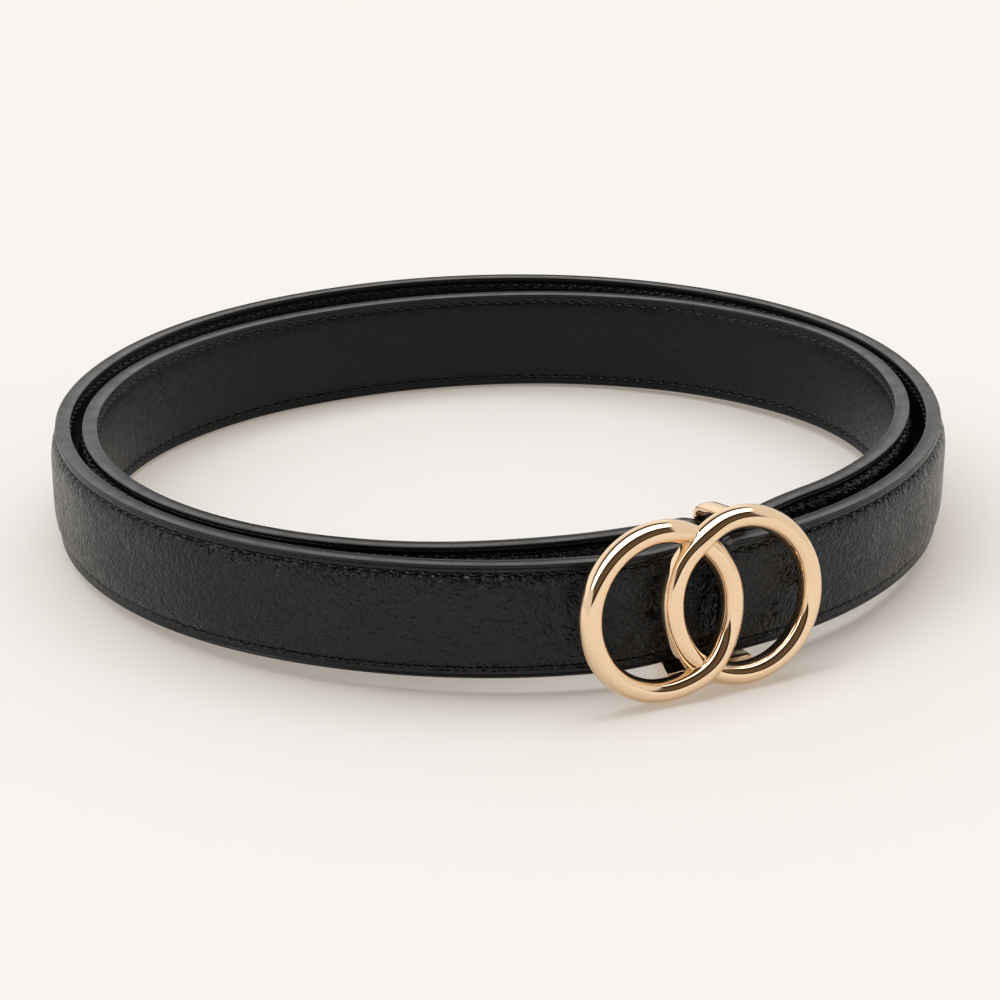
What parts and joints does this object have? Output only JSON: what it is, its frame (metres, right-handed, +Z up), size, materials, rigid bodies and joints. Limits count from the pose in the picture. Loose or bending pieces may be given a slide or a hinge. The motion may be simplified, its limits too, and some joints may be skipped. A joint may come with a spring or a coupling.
{
  "type": "double ring belt",
  "caption": "Slim black leather belt coiled on its edge, with two interlocked gold rings as its buckle and a bent gold keeper behind them.",
  "frame": {"origin": "centre of the part's box at the surface it stands on", "axes": "+Z up, the rings face -Y, the waist opening runs along Z"},
  "size_m": [0.1972, 0.1992, 0.0348],
  "materials": {
    "grain_leather": "black, fine grain, satin",
    "lining_leather": "black, smooth, satin",
    "gold_metal": "pale gold plating, polished"
  },
  "bodies": {
    "root": {"strap_face": "grain_leather", "strap_lining": "lining_leather", "double_ring": "gold_metal", "keeper": "gold_metal", "stud": "gold_metal"}
  },
  "joints": []
}
